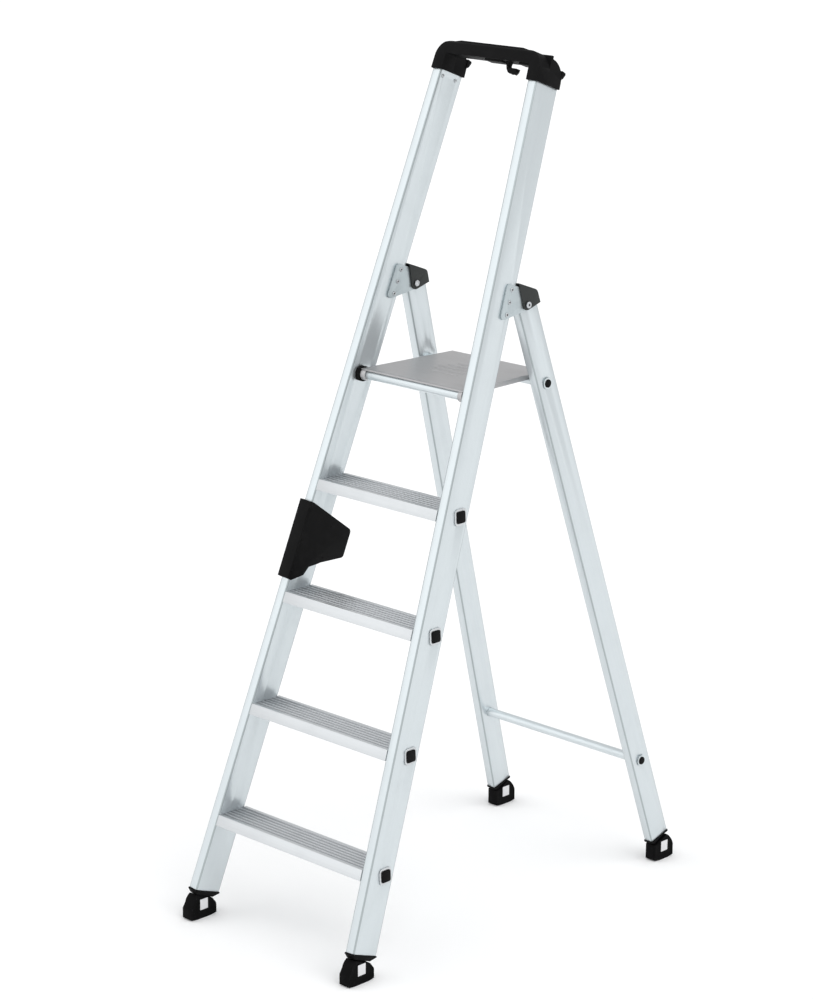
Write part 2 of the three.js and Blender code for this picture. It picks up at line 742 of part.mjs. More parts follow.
// U-shaped clip that locks the sole: a window on both sides joined by a bar through the shoe
function clip(size, toward, grow) {
  const floor = -shoePivotHeight;
  const half = shoeWidth / 2;
  const middle = toward * size.windowShift;
  const { width, height, thickness, bottom } = clipWindow;
  const w = width / 2 + grow;
  const z0 = floor + bottom - grow;
  const z1 = floor + bottom + height + grow;
  const plates = sides.map(([, side]) => {
    const outside = side * (half + (grow ? 2 : 0.2));
    return block(side * (half - thickness - grow), outside, middle - w, middle + w, z0, z1);
  });
  const bar = block(-half + 1, half - 1, middle - 4 - grow, middle + 4 + grow, z0, z0 + 4 + 2 * grow);
  return join(bar, ...plates);
}

// Assembly
const ladder = new THREE.Group();
ladder.position.set(0, -footprintMiddle, 0);

function frameGroup(parent, position, rotationX = 0, rotationY = 0, rotationZ = 0) {
  const group = new THREE.Group();
  group.position.set(...position);
  group.rotation.set(rotationX, rotationY, rotationZ);
  parent.add(group);
  return group;
}

function addShoe(name, x, spot, size, toward) {
  const group = frameGroup(ladder, [x, spot.y, spot.z]);
  group.add(named(`shoe_${name}`, shoe(size, toward), 'rubber'));
  group.add(named(`sole_clip_${name}`, clip(size, toward, 0), 'light'));
}

const frontPlane = frameGroup(ladder, [0, 0, 0], -stileLean);
const rearPlane = frameGroup(ladder, [0, pivot.y, pivot.z], legLean);
const platformFrame = frameGroup(ladder, [0, platformHingeY, platformHingeZ]);

frontPlane.add(named('top_bow', bow(), 'black'));
for (const [name, drop] of [['upper_cross_tube', crossTubeDrop], ['lower_cross_bar', crossBarDrop]]) {
  rearPlane.add(named(name, crossTube(drop).translate(0, legMiddle, drop), 'anodised'));
}
platformFrame.add(named('platform', platform(), 'sheet'));
platformFrame.add(named('platform_tube', platformTube(), 'anodised'));

for (let i = 0; i < stepCount; i += 1) {
  const top = firstStepTop + i * stepRise;
  const level = frameGroup(ladder, [0, top * Math.tan(stileLean), top]);
  level.add(named(`step_${i + 1}`, step(i), 'tread'));
}

for (const [name, side] of sides) {
  const member = frameGroup(frontPlane, [side * stileCentre, 0, 0], 0, -side * stileSplay);
  member.add(named(`stile_${name}`, stile(side), 'anodised'));
  for (let i = 0; i < stepCount; i += 1) {
    const hub = stepHubMatrix(i, side);
    const plug = between(stepPlug(side), hub, stileMatrix(side));
    member.add(named(`step_${i + 1}_plug_${name}`, plug, 'black'));
  }
  bowRivetDepths.forEach((depth, i) => {
    const rivet = bowRivet(side).translate(0, depth, up(bowRivetAlong));
    member.add(named(`bow_rivet_${name}_${i + 1}`, rivet, 'steel'));
  });
  member.add(named(`hinge_plate_outer_${name}`, hingePlate(side, side), 'zinc'));
  member.add(named(`hinge_plate_inner_${name}`, hingePlate(side, -side), 'zinc'));
  rivetRows().forEach((along, i) => {
    const rivet = hingeRivet().translate(0, rivetDepth, up(along));
    member.add(named(`hinge_rivet_${name}_${i + 1}`, rivet, 'steel'));
  });
  platformFrame.add(named(`platform_bush_${name}`, bush(side), 'black'));

  const legFrame = frameGroup(rearPlane, [side * pivotX, 0, 0], 0, -side * legSplay);
  legFrame.add(named(`rear_leg_${name}`, leg(side), 'anodised'));
  const capFrame = frameGroup(legFrame, [0, 0, 0], 0, 0, side * capToe);
  capFrame.add(named(`hinge_cap_${name}`, hingeCap(side), 'grey'));
  const boltFrame = frameGroup(rearPlane, [side * pivotX, 0, 0]);
  boltFrame.add(named(`pivot_bolt_${name}`, pivotBolt(side), 'steel'));
  boltFrame.add(named(`lock_nut_${name}`, lockNut(side), 'steel'));
  for (const [tube, drop] of [['upper', crossTubeDrop], ['lower', crossBarDrop]]) {
    const plug = tubePlug(side).translate(side * crossTubeHalf(drop), legMiddle, drop);
    rearPlane.add(named(`${tube}_tube_plug_${name}`, plug, 'black'));
  }

  const frontX = side * (stileCentre - Math.tan(stileSplay) * frontShoePivot.along);
  member.add(named(`foot_insert_front_${name}`, footInsert({
    width: stileWidth, depth: stileDepth, wall: stileWall, middle: stileDepth / 2, end: up(stileStart),
    saddle: [[20, 11], [-27, 11.9]],
    frame: stileMatrix(side), pivotFrame: levelMatrix(frontX, frontShoePivot.y, frontShoePivot.z),
    along: up(frontShoePivot.along),
  }), 'black'));
  const rearX = side * (pivotX - Math.tan(legSplay) * rearShoePivot.along);
  legFrame.add(named(`foot_insert_rear_${name}`, footInsert({
    width: legWidth, depth: legDepth, wall: legWall, middle: legMiddle, end: up(legBottom, legSplay),
    saddle: [[15, 18.2], [-20, 12]],
    frame: legMatrix(side), pivotFrame: levelMatrix(rearX, rearShoePivot.y, rearShoePivot.z),
    along: up(rearShoePivot.along, legSplay),
  }), 'black'));
  addShoe(`front_${name}`, frontX, frontShoePivot, frontShoe, -1);
  addShoe(`rear_${name}`, rearX, rearShoePivot, rearShoe, 1);
}

const padFrame = frameGroup(frontPlane, [-stileCentre, 0, 0], 0, stileSplay);
padFrame.add(named('grip_pad', gripPad(-1), 'black'));

export default ladder;
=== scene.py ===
import json
import math

import bmesh
import bpy
from mathutils import Matrix, Vector


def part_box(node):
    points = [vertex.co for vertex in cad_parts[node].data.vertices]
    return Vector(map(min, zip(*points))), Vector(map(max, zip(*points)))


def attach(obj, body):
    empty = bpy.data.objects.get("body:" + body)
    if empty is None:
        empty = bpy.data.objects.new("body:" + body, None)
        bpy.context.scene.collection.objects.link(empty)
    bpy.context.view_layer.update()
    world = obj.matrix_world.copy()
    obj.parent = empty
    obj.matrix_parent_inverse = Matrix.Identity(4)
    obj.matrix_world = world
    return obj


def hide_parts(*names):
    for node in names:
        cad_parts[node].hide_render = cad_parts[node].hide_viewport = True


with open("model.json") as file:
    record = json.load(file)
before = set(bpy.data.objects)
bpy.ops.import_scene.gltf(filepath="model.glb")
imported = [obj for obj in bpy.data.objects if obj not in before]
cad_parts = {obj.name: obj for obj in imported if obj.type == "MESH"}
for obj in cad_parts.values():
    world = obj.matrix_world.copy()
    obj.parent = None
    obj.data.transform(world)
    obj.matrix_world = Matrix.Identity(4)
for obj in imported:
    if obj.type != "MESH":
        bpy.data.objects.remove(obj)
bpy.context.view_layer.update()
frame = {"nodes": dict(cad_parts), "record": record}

nodes = frame["nodes"]
bodyOf = {n: body for body, group in frame["record"]["behaviour"]["bodies"].items() for n in group}
slotOf = {s["node"]: s["material_slot"] for s in frame["record"]["subparts"]}
sides = (("left", -1), ("right", 1))
print("frame loaded:", len(nodes), "nodes")

millimetre = 0.001
level = Matrix.Identity(3)

# lean and splay of both frames in degrees, and where the middle of a stile's front meets the
# floor in metres
ladder = {
    "stileLean": 20.17,
    "stileSplay": 3.28,
    "legLean": -16.89,
    "legSplay": 3.5,
    "stileFoot": (0.24448, -0.52456, 0.0),
}


def leanAndSplay(lean, splay, side):
    splayed = Matrix.Rotation(-side * math.radians(splay), 3, "Y")
    return Matrix.Rotation(-math.radians(lean), 3, "X") @ splayed


def stileTurn(side):
    return leanAndSplay(ladder["stileLean"], ladder["stileSplay"], side)


def legTurn(side):
    return leanAndSplay(ladder["legLean"], ladder["legSplay"], side)


# world position of a point across, behind and up a stile, in millimetres
def onStile(side, across, depth, along):
    x, y, z = ladder["stileFoot"]
    local = Vector((across, depth, along)) * millimetre
    return stileTurn(side) @ local + Vector((side * x, y, z))


def node(tree, kind, **values):
    made = tree.nodes.new(kind)
    for key, value in values.items():
        setattr(made, key, value)
    return made


def feed(tree, source, target):
    tree.links.new(source, target)


def newGroup(name, inputs, outputs):
    group = bpy.data.node_groups.new(name, "ShaderNodeTree")
    for label, kind, default in inputs:
        socket = group.interface.new_socket(name=label, in_out="INPUT", socket_type=kind)
        if default is not None:
            socket.default_value = default
    for label, kind in outputs:
        group.interface.new_socket(name=label, in_out="OUTPUT", socket_type=kind)
    return group, group.nodes.new("NodeGroupInput"), group.nodes.new("NodeGroupOutput")


def calculate(tree, operation, a, b):
    made = node(tree, "ShaderNodeMath", operation=operation)
    for socket, value in zip(made.inputs, (a, b)):
        if isinstance(value, (int, float)):
            socket.default_value = value
        else:
            feed(tree, value, socket)
    return made.outputs[0]


def ramp(tree, value, low, high):
    made = node(tree, "ShaderNodeMapRange")
    made.inputs["From Min"].default_value = low
    made.inputs["From Max"].default_value = high
    feed(tree, value, made.inputs["Value"])
    return made.outputs["Result"]


def noise(tree, vector, scale, detail=3.0, rough=0.55):
    made = node(tree, "ShaderNodeTexNoise")
    if isinstance(scale, (int, float)):
        made.inputs["Scale"].default_value = scale
    else:
        feed(tree, scale, made.inputs["Scale"])
    made.inputs["Detail"].default_value = detail
    made.inputs["Roughness"].default_value = rough
    feed(tree, vector, made.inputs["Vector"])
    return made.outputs["Fac"]


effects = {
    "edgeBend": (0.015, 0.12),  # from a faint to a full edge
    "wearAndShadePatches": (0.42, 0.62),
    "lineStretch": (1.0, 1.0, 0.004),
    "cloudStretch": (1.0, 1.0, 0.25),
    "broadLines": 0.22,  # scale of the broad lines as a share of the fine ones'
    "fineShare": 0.6,
    "smudges": (0.5, 0.72),
    "scratchWidth": 0.012,
    "scratchWander": 6.0,
}


# blend of two patterns, the first with the fine share
def blended(tree, first, second):
    share = effects["fineShare"]
    return calculate(tree, "ADD", calculate(tree, "MULTIPLY", first, share),
                     calculate(tree, "MULTIPLY", second, 1 - share))


# mask of edges, for wear and, on the anodised members, for a darker line of painted shade:
# where a rounded normal leaves the true one, broken up by noise
def edgeWearAndShadeGroup():
    tree, given, result = newGroup("edgeWearAndShade", [
        ("Vector", "NodeSocketVector", None), ("Radius", "NodeSocketFloat", 0.0012),
        ("Amount", "NodeSocketFloat", 0.6), ("Break Up", "NodeSocketFloat", 220.0),
    ], [("Mask", "NodeSocketFloat")])
    bevel = node(tree, "ShaderNodeBevel", samples=4)
    feed(tree, given.outputs["Radius"], bevel.inputs["Radius"])
    geometry = node(tree, "ShaderNodeNewGeometry")
    dot = node(tree, "ShaderNodeVectorMath", operation="DOT_PRODUCT")
    feed(tree, bevel.outputs["Normal"], dot.inputs[0])
    feed(tree, geometry.outputs["Normal"], dot.inputs[1])
    bend = calculate(tree, "SUBTRACT", 1.0, dot.outputs["Value"])
    edge = ramp(tree, bend, *effects["edgeBend"])
    clouds = noise(tree, given.outputs["Vector"], given.outputs["Break Up"])
    patches = ramp(tree, clouds, *effects["wearAndShadePatches"])
    edgeTint = calculate(tree, "MULTIPLY", edge, patches)
    feed(tree, calculate(tree, "MULTIPLY", edgeTint, given.outputs["Amount"]), result.inputs["Mask"])
    return tree


# fine lines that extruding or brushing leaves along the vector's Z axis
def drawnLinesGroup():
    tree, given, result = newGroup("drawnLines", [
        ("Vector", "NodeSocketVector", None), ("Line Scale", "NodeSocketFloat", 900.0),
        ("Cloud Scale", "NodeSocketFloat", 9.0),
    ], [("Lines", "NodeSocketFloat"), ("Clouds", "NodeSocketFloat")])
    stretch = node(tree, "ShaderNodeVectorMath", operation="MULTIPLY")
    stretch.inputs[1].default_value = effects["lineStretch"]
    feed(tree, given.outputs["Vector"], stretch.inputs[0])
    fine = noise(tree, stretch.outputs["Vector"], given.outputs["Line Scale"],
                 detail=2.0, rough=0.6)
    coarse = calculate(tree, "MULTIPLY", given.outputs["Line Scale"], effects["broadLines"])
    broad = noise(tree, stretch.outputs["Vector"], coarse, detail=2.0, rough=0.5)
    feed(tree, blended(tree, fine, broad), result.inputs["Lines"])
    soft = node(tree, "ShaderNodeVectorMath", operation="MULTIPLY")
    soft.inputs[1].default_value = effects["cloudStretch"]
    feed(tree, given.outputs["Vector"], soft.inputs[0])
    clouds = noise(tree, soft.outputs["Vector"], given.outputs["Cloud Scale"],
                   detail=4.0, rough=0.5)
    feed(tree, clouds, result.inputs["Clouds"])
    return tree


# spark-eroded grain of moulded plastic, with a slow variation over it
def mouldGrainGroup():
    tree, given, result = newGroup("mouldGrain", [
        ("Vector", "NodeSocketVector", None), ("Grain Scale", "NodeSocketFloat", 1500.0),
        ("Cloud Scale", "NodeSocketFloat", 25.0),
    ], [("Grain", "NodeSocketFloat"), ("Clouds", "NodeSocketFloat")])
    cells = node(tree, "ShaderNodeTexVoronoi", feature="SMOOTH_F1")
    feed(tree, given.outputs["Vector"], cells.inputs["Vector"])
    feed(tree, given.outputs["Grain Scale"], cells.inputs["Scale"])
    speck = noise(tree, given.outputs["Vector"], given.outputs["Grain Scale"],
                  detail=2.0, rough=0.6)
    feed(tree, blended(tree, cells.outputs["Distance"], speck), result.inputs["Grain"])
    clouds = noise(tree, given.outputs["Vector"], given.outputs["Cloud Scale"], detail=4.0)
    feed(tree, clouds, result.inputs["Clouds"])
    return tree


# faint marks of use: smudges and the odd hairline scratch
def handlingGroup():
    tree, given, result = newGroup("handling", [
        ("Vector", "NodeSocketVector", None), ("Smudge Scale", "NodeSocketFloat", 14.0),
        ("Scratch Scale", "NodeSocketFloat", 60.0),
    ], [("Smudges", "NodeSocketFloat"), ("Scratches", "NodeSocketFloat")])
    clouds = noise(tree, given.outputs["Vector"], given.outputs["Smudge Scale"],
                   detail=5.0, rough=0.6)
    smudge = ramp(tree, clouds, *effects["smudges"])
    feed(tree, smudge, result.inputs["Smudges"])
    warp = node(tree, "ShaderNodeTexNoise")
    warp.inputs["Scale"].default_value = effects["scratchWander"]
    feed(tree, given.outputs["Vector"], warp.inputs["Vector"])
    shifted = node(tree, "ShaderNodeVectorMath", operation="ADD")
    feed(tree, given.outputs["Vector"], shifted.inputs[0])
    feed(tree, warp.outputs["Color"], shifted.inputs[1])
    cells = node(tree, "ShaderNodeTexVoronoi", feature="DISTANCE_TO_EDGE")
    feed(tree, shifted.outputs["Vector"], cells.inputs["Vector"])
    feed(tree, given.outputs["Scratch Scale"], cells.inputs["Scale"])
    thin = ramp(tree, cells.outputs["Distance"], effects["scratchWidth"], 0.0)
    feed(tree, calculate(tree, "MULTIPLY", thin, smudge), result.inputs["Scratches"])
    return tree


groups = {
    "edgeWearAndShade": edgeWearAndShadeGroup(),
    "drawnLines": drawnLinesGroup(),
    "mouldGrain": mouldGrainGroup(),
    "handling": handlingGroup(),
}
print("shader groups built:", ", ".join(groups))


def place(tree, name, vector, values):
    made = tree.nodes.new("ShaderNodeGroup")
    made.node_tree = groups[name]
    feed(tree, vector, made.inputs["Vector"])
    for label, value in values.items():
        made.inputs[label].default_value = value
    return made


def startMaterial(name, turn=level):
    material = bpy.data.materials.new(name)
    material.use_nodes = True
    tree = material.node_tree
    tree.nodes.clear()
    out = tree.nodes.new("ShaderNodeOutputMaterial")
    shader = tree.nodes.new("ShaderNodeBsdfPrincipled")
    feed(tree, shader.outputs["BSDF"], out.inputs["Surface"])
    coords = tree.nodes.new("ShaderNodeTexCoord")
    mapping = node(tree, "ShaderNodeMapping", vector_type="POINT")
    mapping.inputs["Rotation"].default_value = turn.inverted().to_euler()
    feed(tree, coords.outputs["Object"], mapping.inputs["Vector"])
    return material, tree, shader, mapping.outputs["Vector"]


def mixColour(tree, factor, a, b):
    made = node(tree, "ShaderNodeMix", data_type="RGBA")
    feed(tree, factor, made.inputs["Factor"])
    for socket, value in ((made.inputs[6], a), (made.inputs[7], b)):
        if isinstance(value, tuple):
            socket.default_value = (*value, 1.0)
        else:
            feed(tree, value, socket)
    return made.outputs[2]


def scaled(tree, value, low, high):
    made = node(tree, "ShaderNodeMapRange")
    made.inputs["To Min"].default_value = low
    made.inputs["To Max"].default_value = high
    feed(tree, value, made.inputs["Value"])
    return made.outputs["Result"]


def bump(tree, shader, *layers):
    last = None
    for height, strength, distance in layers:
        made = tree.nodes.new("ShaderNodeBump")
        made.inputs["Strength"].default_value = strength
        made.inputs["Distance"].default_value = distance
        feed(tree, height, made.inputs["Height"])
        if last is not None:
            feed(tree, last, made.inputs["Normal"])
        last = made.outputs["Normal"]
    feed(tree, last, shader.inputs["Normal"])


# colours are linear, rough is the range that the drawn lines run through, and marks is how much
# smudges and scratches show
# edge is the colour laid along the edge mask: lighter edges are wear, while the darker edges of
# the anodised members are painted shade, a thin dark line standing for a dark reflection
metalLooks = {
    "anodised": {
        "base": (0.655, 0.705, 0.725), "shade": (0.625, 0.675, 0.695),
        "bright": (0.74, 0.79, 0.81), "edge": (0.55, 0.60, 0.61), "metallic": 0.8,
        "rough": (0.27, 0.33), "lineScale": 1100.0, "lineBump": 0.006, "wearAndShade": 0.3,
        "edgeRadius": 0.0011, "marks": 0.04,
    },
    # darker metal for the rounded corners of stiles and legs: painted shade, a thin dark line
    # standing for a dark reflection
    "cornerShade": {
        "base": (0.42, 0.47, 0.48), "shade": (0.38, 0.42, 0.43), "bright": (0.52, 0.57, 0.58),
        "edge": (0.36, 0.40, 0.41), "metallic": 0.8, "rough": (0.28, 0.38), "lineScale": 1100.0,
        "lineBump": 0.03, "wearAndShade": 0.2, "edgeRadius": 0.0008, "marks": 0.04,
    },
    "tread": {
        "base": (0.63, 0.65, 0.665), "shade": (0.58, 0.60, 0.615), "bright": (0.78, 0.80, 0.81),
        "edge": (0.90, 0.91, 0.92), "metallic": 0.85, "rough": (0.30, 0.42), "lineScale": 260.0,
        "lineBump": 0.03, "wearAndShade": 0.6, "edgeRadius": 0.0008, "marks": 0.08,
    },
    # lighter metal for the tops of the tread ribs: painted highlight
    "ridgeHighlight": {
        "base": (0.92, 0.93, 0.94), "shade": (0.84, 0.86, 0.87), "bright": (0.96, 0.97, 0.98),
        "edge": (0.96, 0.97, 0.98), "metallic": 0.75, "rough": (0.24, 0.36), "lineScale": 260.0,
        "lineBump": 0.02, "wearAndShade": 0.4, "edgeRadius": 0.0006, "marks": 0.05,
    },
    # darker metal for the floors between the tread ribs: painted shade
    "grooveShade": {
        "base": (0.45, 0.46, 0.48), "shade": (0.38, 0.39, 0.41), "bright": (0.58, 0.59, 0.61),
        "edge": (0.48, 0.49, 0.50), "metallic": 0.85, "rough": (0.34, 0.46), "lineScale": 260.0,
        "lineBump": 0.03, "wearAndShade": 0.2, "edgeRadius": 0.0006, "marks": 0.10,
    },
    "sheet": {
        "base": (0.47, 0.465, 0.47), "shade": (0.42, 0.415, 0.42), "bright": (0.66, 0.66, 0.66),
        "edge": (0.74, 0.74, 0.74), "metallic": 0.8, "rough": (0.36, 0.50), "lineScale": 420.0,
        "lineBump": 0.04, "wearAndShade": 0.5, "edgeRadius": 0.001, "marks": 0.08,
    },
    "zinc": {
        "base": (0.54, 0.60, 0.62), "shade": (0.46, 0.52, 0.54), "bright": (0.72, 0.77, 0.78),
        "edge": (0.36, 0.40, 0.42), "metallic": 0.8, "rough": (0.38, 0.52), "lineScale": 500.0,
        "lineBump": 0.04, "wearAndShade": 0.6, "edgeRadius": 0.0012, "marks": 0.10,
    },
    "steel": {
        "base": (0.60, 0.62, 0.63), "shade": (0.48, 0.50, 0.52), "bright": (0.85, 0.86, 0.87),
        "edge": (0.86, 0.87, 0.88), "metallic": 1.0, "rough": (0.22, 0.36), "lineScale": 600.0,
        "lineBump": 0.05, "wearAndShade": 0.4, "edgeRadius": 0.0008, "marks": 0.06,
    },
    # near-black metal for the discs in rivet dimples and bolt sockets: painted shade in these
    # recesses
    "recessShade": {
        "base": (0.045, 0.045, 0.048), "shade": (0.03, 0.03, 0.032),
        "bright": (0.10, 0.10, 0.11), "edge": (0.10, 0.10, 0.10), "metallic": 0.8,
        "rough": (0.4, 0.55), "lineScale": 600.0, "lineBump": 0.05, "wearAndShade": 0.3,
        "edgeRadius": 0.0006, "marks": 0.06,
    },
}

# the same on every metal: which lines shine as streaks, how marks and wear change it, depths
metalSurface = {
    "streaks": (0.35, 0.75),
    "streakShare": 0.22,
    "smudgeShade": 0.8,
    "smudgeRough": 0.08,
    "wearPolish": 0.1,
    "lineDepth": 0.0004,
    "scratchShare": 0.3,
    "scratchDepth": 0.0002,
}


def metal(name, look, turn=level):
    use = metalLooks[look]
    shared = metalSurface
    material, tree, shader, vector = startMaterial(name, turn)
    lines = place(tree, "drawnLines", vector, {"Line Scale": use["lineScale"]})
    wearAndShade = place(tree, "edgeWearAndShade", vector, {"Amount": use["wearAndShade"], "Radius": use["edgeRadius"]})
    marks = place(tree, "handling", vector, {})
    colour = mixColour(tree, lines.outputs["Clouds"], use["shade"], use["base"])
    streaks = ramp(tree, lines.outputs["Lines"], *shared["streaks"])
    fleck = calculate(tree, "MULTIPLY", streaks, shared["streakShare"])
    colour = mixColour(tree, fleck, colour, use["bright"])
    smudge = calculate(tree, "MULTIPLY", marks.outputs["Smudges"], use["marks"])
    darker = tuple(shared["smudgeShade"] * channel for channel in use["shade"])
    colour = mixColour(tree, smudge, colour, darker)
    colour = mixColour(tree, wearAndShade.outputs["Mask"], colour, use["edge"])
    feed(tree, colour, shader.inputs["Base Color"])
    low, high = use["rough"]
    rough = scaled(tree, lines.outputs["Lines"], low, high)
    dull = calculate(tree, "MULTIPLY", marks.outputs["Smudges"], shared["smudgeRough"])
    polish = calculate(tree, "MULTIPLY", wearAndShade.outputs["Mask"], shared["wearPolish"])
    rough = calculate(tree, "SUBTRACT", calculate(tree, "ADD", rough, dull), polish)
    feed(tree, rough, shader.inputs["Roughness"])
    shader.inputs["Metallic"].default_value = use["metallic"]
    scratchBump = use["marks"] * shared["scratchShare"]
    bump(tree, shader, (lines.outputs["Lines"], use["lineBump"], shared["lineDepth"]),
         (marks.outputs["Scratches"], scratchBump, shared["scratchDepth"]))
    return material


# shine is the strength of the plain reflection
plasticLooks = {
    "black": {
        "base": (0.0036, 0.0036, 0.0038), "shade": (0.0026, 0.0026, 0.0028),
        "edgeTint": (0.014, 0.014, 0.015), "rough": (0.50, 0.64), "shine": 0.085,
        "grainScale": 1600.0, "grainBump": 0.12, "wearAndShade": 0.35,
    },
    "grey": {
        "base": (0.033, 0.036, 0.035), "shade": (0.025, 0.028, 0.027),
        "edgeTint": (0.10, 0.105, 0.103), "rough": (0.42, 0.55), "shine": 0.24,
        "grainScale": 1700.0, "grainBump": 0.12, "wearAndShade": 0.5,
    },
    "rubber": {
        "base": (0.0028, 0.0028, 0.0030), "shade": (0.0018, 0.0018, 0.0020),
        "edgeTint": (0.011, 0.011, 0.011), "rough": (0.58, 0.75), "shine": 0.065,
        "grainScale": 1200.0, "grainBump": 0.2, "wearAndShade": 0.5,
    },
    "light": {
        "base": (0.74, 0.74, 0.75), "shade": (0.68, 0.68, 0.69), "edgeTint": (0.50, 0.50, 0.50),
        "rough": (0.35, 0.48), "shine": 0.35, "grainScale": 1800.0, "grainBump": 0.06,
        "wearAndShade": 0.3,
    },
}

# the same on every plastic: worn edges, size of the marks, dust, depths of grain and scratches
plasticSurface = {
    "edgeRadius": 0.0009,
    "smudgeScale": 30.0,
    "scratchScale": 110.0,
    "smudgeRough": 0.1,
    "dust": (0.20, 0.195, 0.19),
    "dustShare": 0.02,
    "grainDepth": 0.0003,
    "scratchBump": 0.08,
    "scratchDepth": 0.0002,
}


def plastic(name, look):
    use = plasticLooks[look]
    shared = plasticSurface
    material, tree, shader, vector = startMaterial(name)
    grain = place(tree, "mouldGrain", vector, {"Grain Scale": use["grainScale"]})
    wearAndShade = place(tree, "edgeWearAndShade", vector, {"Amount": use["wearAndShade"],
                                            "Radius": shared["edgeRadius"]})
    marks = place(tree, "handling", vector, {"Smudge Scale": shared["smudgeScale"],
                                             "Scratch Scale": shared["scratchScale"]})
    colour = mixColour(tree, grain.outputs["Clouds"], use["shade"], use["base"])
    dust = calculate(tree, "MULTIPLY", marks.outputs["Smudges"], shared["dustShare"])
    colour = mixColour(tree, dust, colour, shared["dust"])
    colour = mixColour(tree, wearAndShade.outputs["Mask"], colour, use["edgeTint"])
    feed(tree, colour, shader.inputs["Base Color"])
    low, high = use["rough"]
    rough = scaled(tree, grain.outputs["Clouds"], low, high)
    dull = calculate(tree, "MULTIPLY", marks.outputs["Smudges"], shared["smudgeRough"])
    feed(tree, calculate(tree, "ADD", rough, dull), shader.inputs["Roughness"])
    shader.inputs["Specular IOR Level"].default_value = use["shine"]
    bump(tree, shader, (grain.outputs["Grain"], use["grainBump"], shared["grainDepth"]),
         (marks.outputs["Scratches"], shared["scratchBump"], shared["scratchDepth"]))
    return material


alongX = Matrix.Rotation(math.radians(90), 3, "Y")
materials = {
    "stile_left": metal("anodisedStileLeft", "anodised", stileTurn(-1)),
    "stile_right": metal("anodisedStileRight", "anodised", stileTurn(1)),
    "rear_leg_left": metal("anodisedLegLeft", "anodised", legTurn(-1)),
    "rear_leg_right": metal("anodisedLegRight", "anodised", legTurn(1)),
    "profile_corner_shade": metal("anodisedCornerShade", "cornerShade", stileTurn(1)),
    "anodised_aluminium": metal("anodisedTube", "anodised", alongX),
    "tread_aluminium": metal("treadAluminium", "tread", alongX),
    "tread_ridge_highlight": metal("treadRidgeHighlight", "ridgeHighlight", alongX),
    "tread_groove_shade": metal("treadGrooveShade", "grooveShade", alongX),
    "platform_sheet": metal("platformSheet", "sheet", alongX),
    "zinc_plate": metal("zincPlate", "zinc"),
    "fastener_steel": metal("fastenerSteel", "steel"),
    "recess_shade": metal("recessShade", "recessShade"),
    "black_plastic": plastic("blackPlastic", "black"),
    "grey_plastic": plastic("greyPlastic", "grey"),
    "shoe_rubber": plastic("shoeRubber", "rubber"),
    "light_plastic": plastic("lightPlastic", "light"),
}
print("materials built:", len(materials))


def finishPiece(name, mesh, body, slot, material=None, sharpAt=40.0):
    for face in mesh.polygons:
        face.use_smooth = True
    mesh.set_sharp_from_angle(angle=math.radians(sharpAt))
    mesh.materials.clear()
    mesh.materials.append(materials[material or slot])
    piece = bpy.data.objects.new(name, mesh)
    bpy.context.scene.collection.objects.link(piece)
    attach(piece, body)
    return piece


cleaning = {
    "weld": 1e-6,  # points closer than this are one, in metres
    "flat": 0.6,  # faces that differ by less are one flat face, in degrees
}


def mergeFlatFaces(bm):
    bmesh.ops.dissolve_limit(bm, angle_limit=math.radians(cleaning["flat"]), verts=bm.verts,
                             edges=bm.edges)


def roundEdges(bm, rounding):
    limit = math.radians(rounding["angle"])
    sharp = [e for e in bm.edges if len(e.link_faces) == 2 and e.calc_face_angle(0.0) > limit]
    if sharp:
        bmesh.ops.bevel(bm, geom=sharp, offset=rounding["width"], segments=rounding["segments"],
                        profile=0.5, affect="EDGES", clamp_overlap=True)


def refined(name, rounding, material, shape):
    bm = bmesh.new()
    bm.from_mesh(nodes[name].data)
    bmesh.ops.remove_doubles(bm, verts=bm.verts, dist=cleaning["weld"])
    mergeFlatFaces(bm)
    if shape:
        shape(bm)
    roundEdges(bm, rounding)
    mesh = bpy.data.meshes.new(name + "_shape")
    bm.to_mesh(mesh)
    bm.free()
    piece = finishPiece(name + "_piece", mesh, bodyOf[name], slotOf[name], material)
    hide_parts(name)
    return piece


# edge rounding by how a piece's name starts: width in metres, and the angle in degrees above
# which an edge is rounded
edges = {
    "stile": {"width": 0.0006, "segments": 2, "angle": 40.0},
    "rear_leg": {"width": 0.0006, "segments": 2, "angle": 40.0},
    "step_": {"width": 0.0004, "segments": 2, "angle": 30.0},
    "platform": {"width": 0.0006, "segments": 2, "angle": 30.0},
    "hinge_plate": {"width": 0.0005, "segments": 2, "angle": 40.0},
    "hinge_cap": {"width": 0.0010, "segments": 3, "angle": 30.0},
    "top_bow": {"width": 0.0016, "segments": 3, "angle": 30.0},
    "grip_pad": {"width": 0.0014, "segments": 3, "angle": 30.0},
    "shoe": {"width": 0.0014, "segments": 3, "angle": 20.0},
    "sole_clip": {"width": 0.0006, "segments": 2, "angle": 30.0},
    "foot_insert": {"width": 0.0008, "segments": 2, "angle": 40.0},
}
otherEdges = {"width": 0.0005, "segments": 2, "angle": 35.0}

# moulded details of the shoes, in metres: the rim left round each side's panel and the grooves
# under the sole
shoes = {
    "rim": 0.0022,
    "panelDepth": 0.0006,
    "sideFacing": 0.99,  # how squarely a face of the side looks outward
    "sideFrom": 0.45,  # how far out it lies, as a share of the shoe's width
    "grooves": (-0.0075, 0.0, 0.0075),
    "grooveWidth": 0.0024,
    "grooveDepth": 0.0016,
    "grooveEnd": 0.012,
    "grooveBelow": 0.01,
}


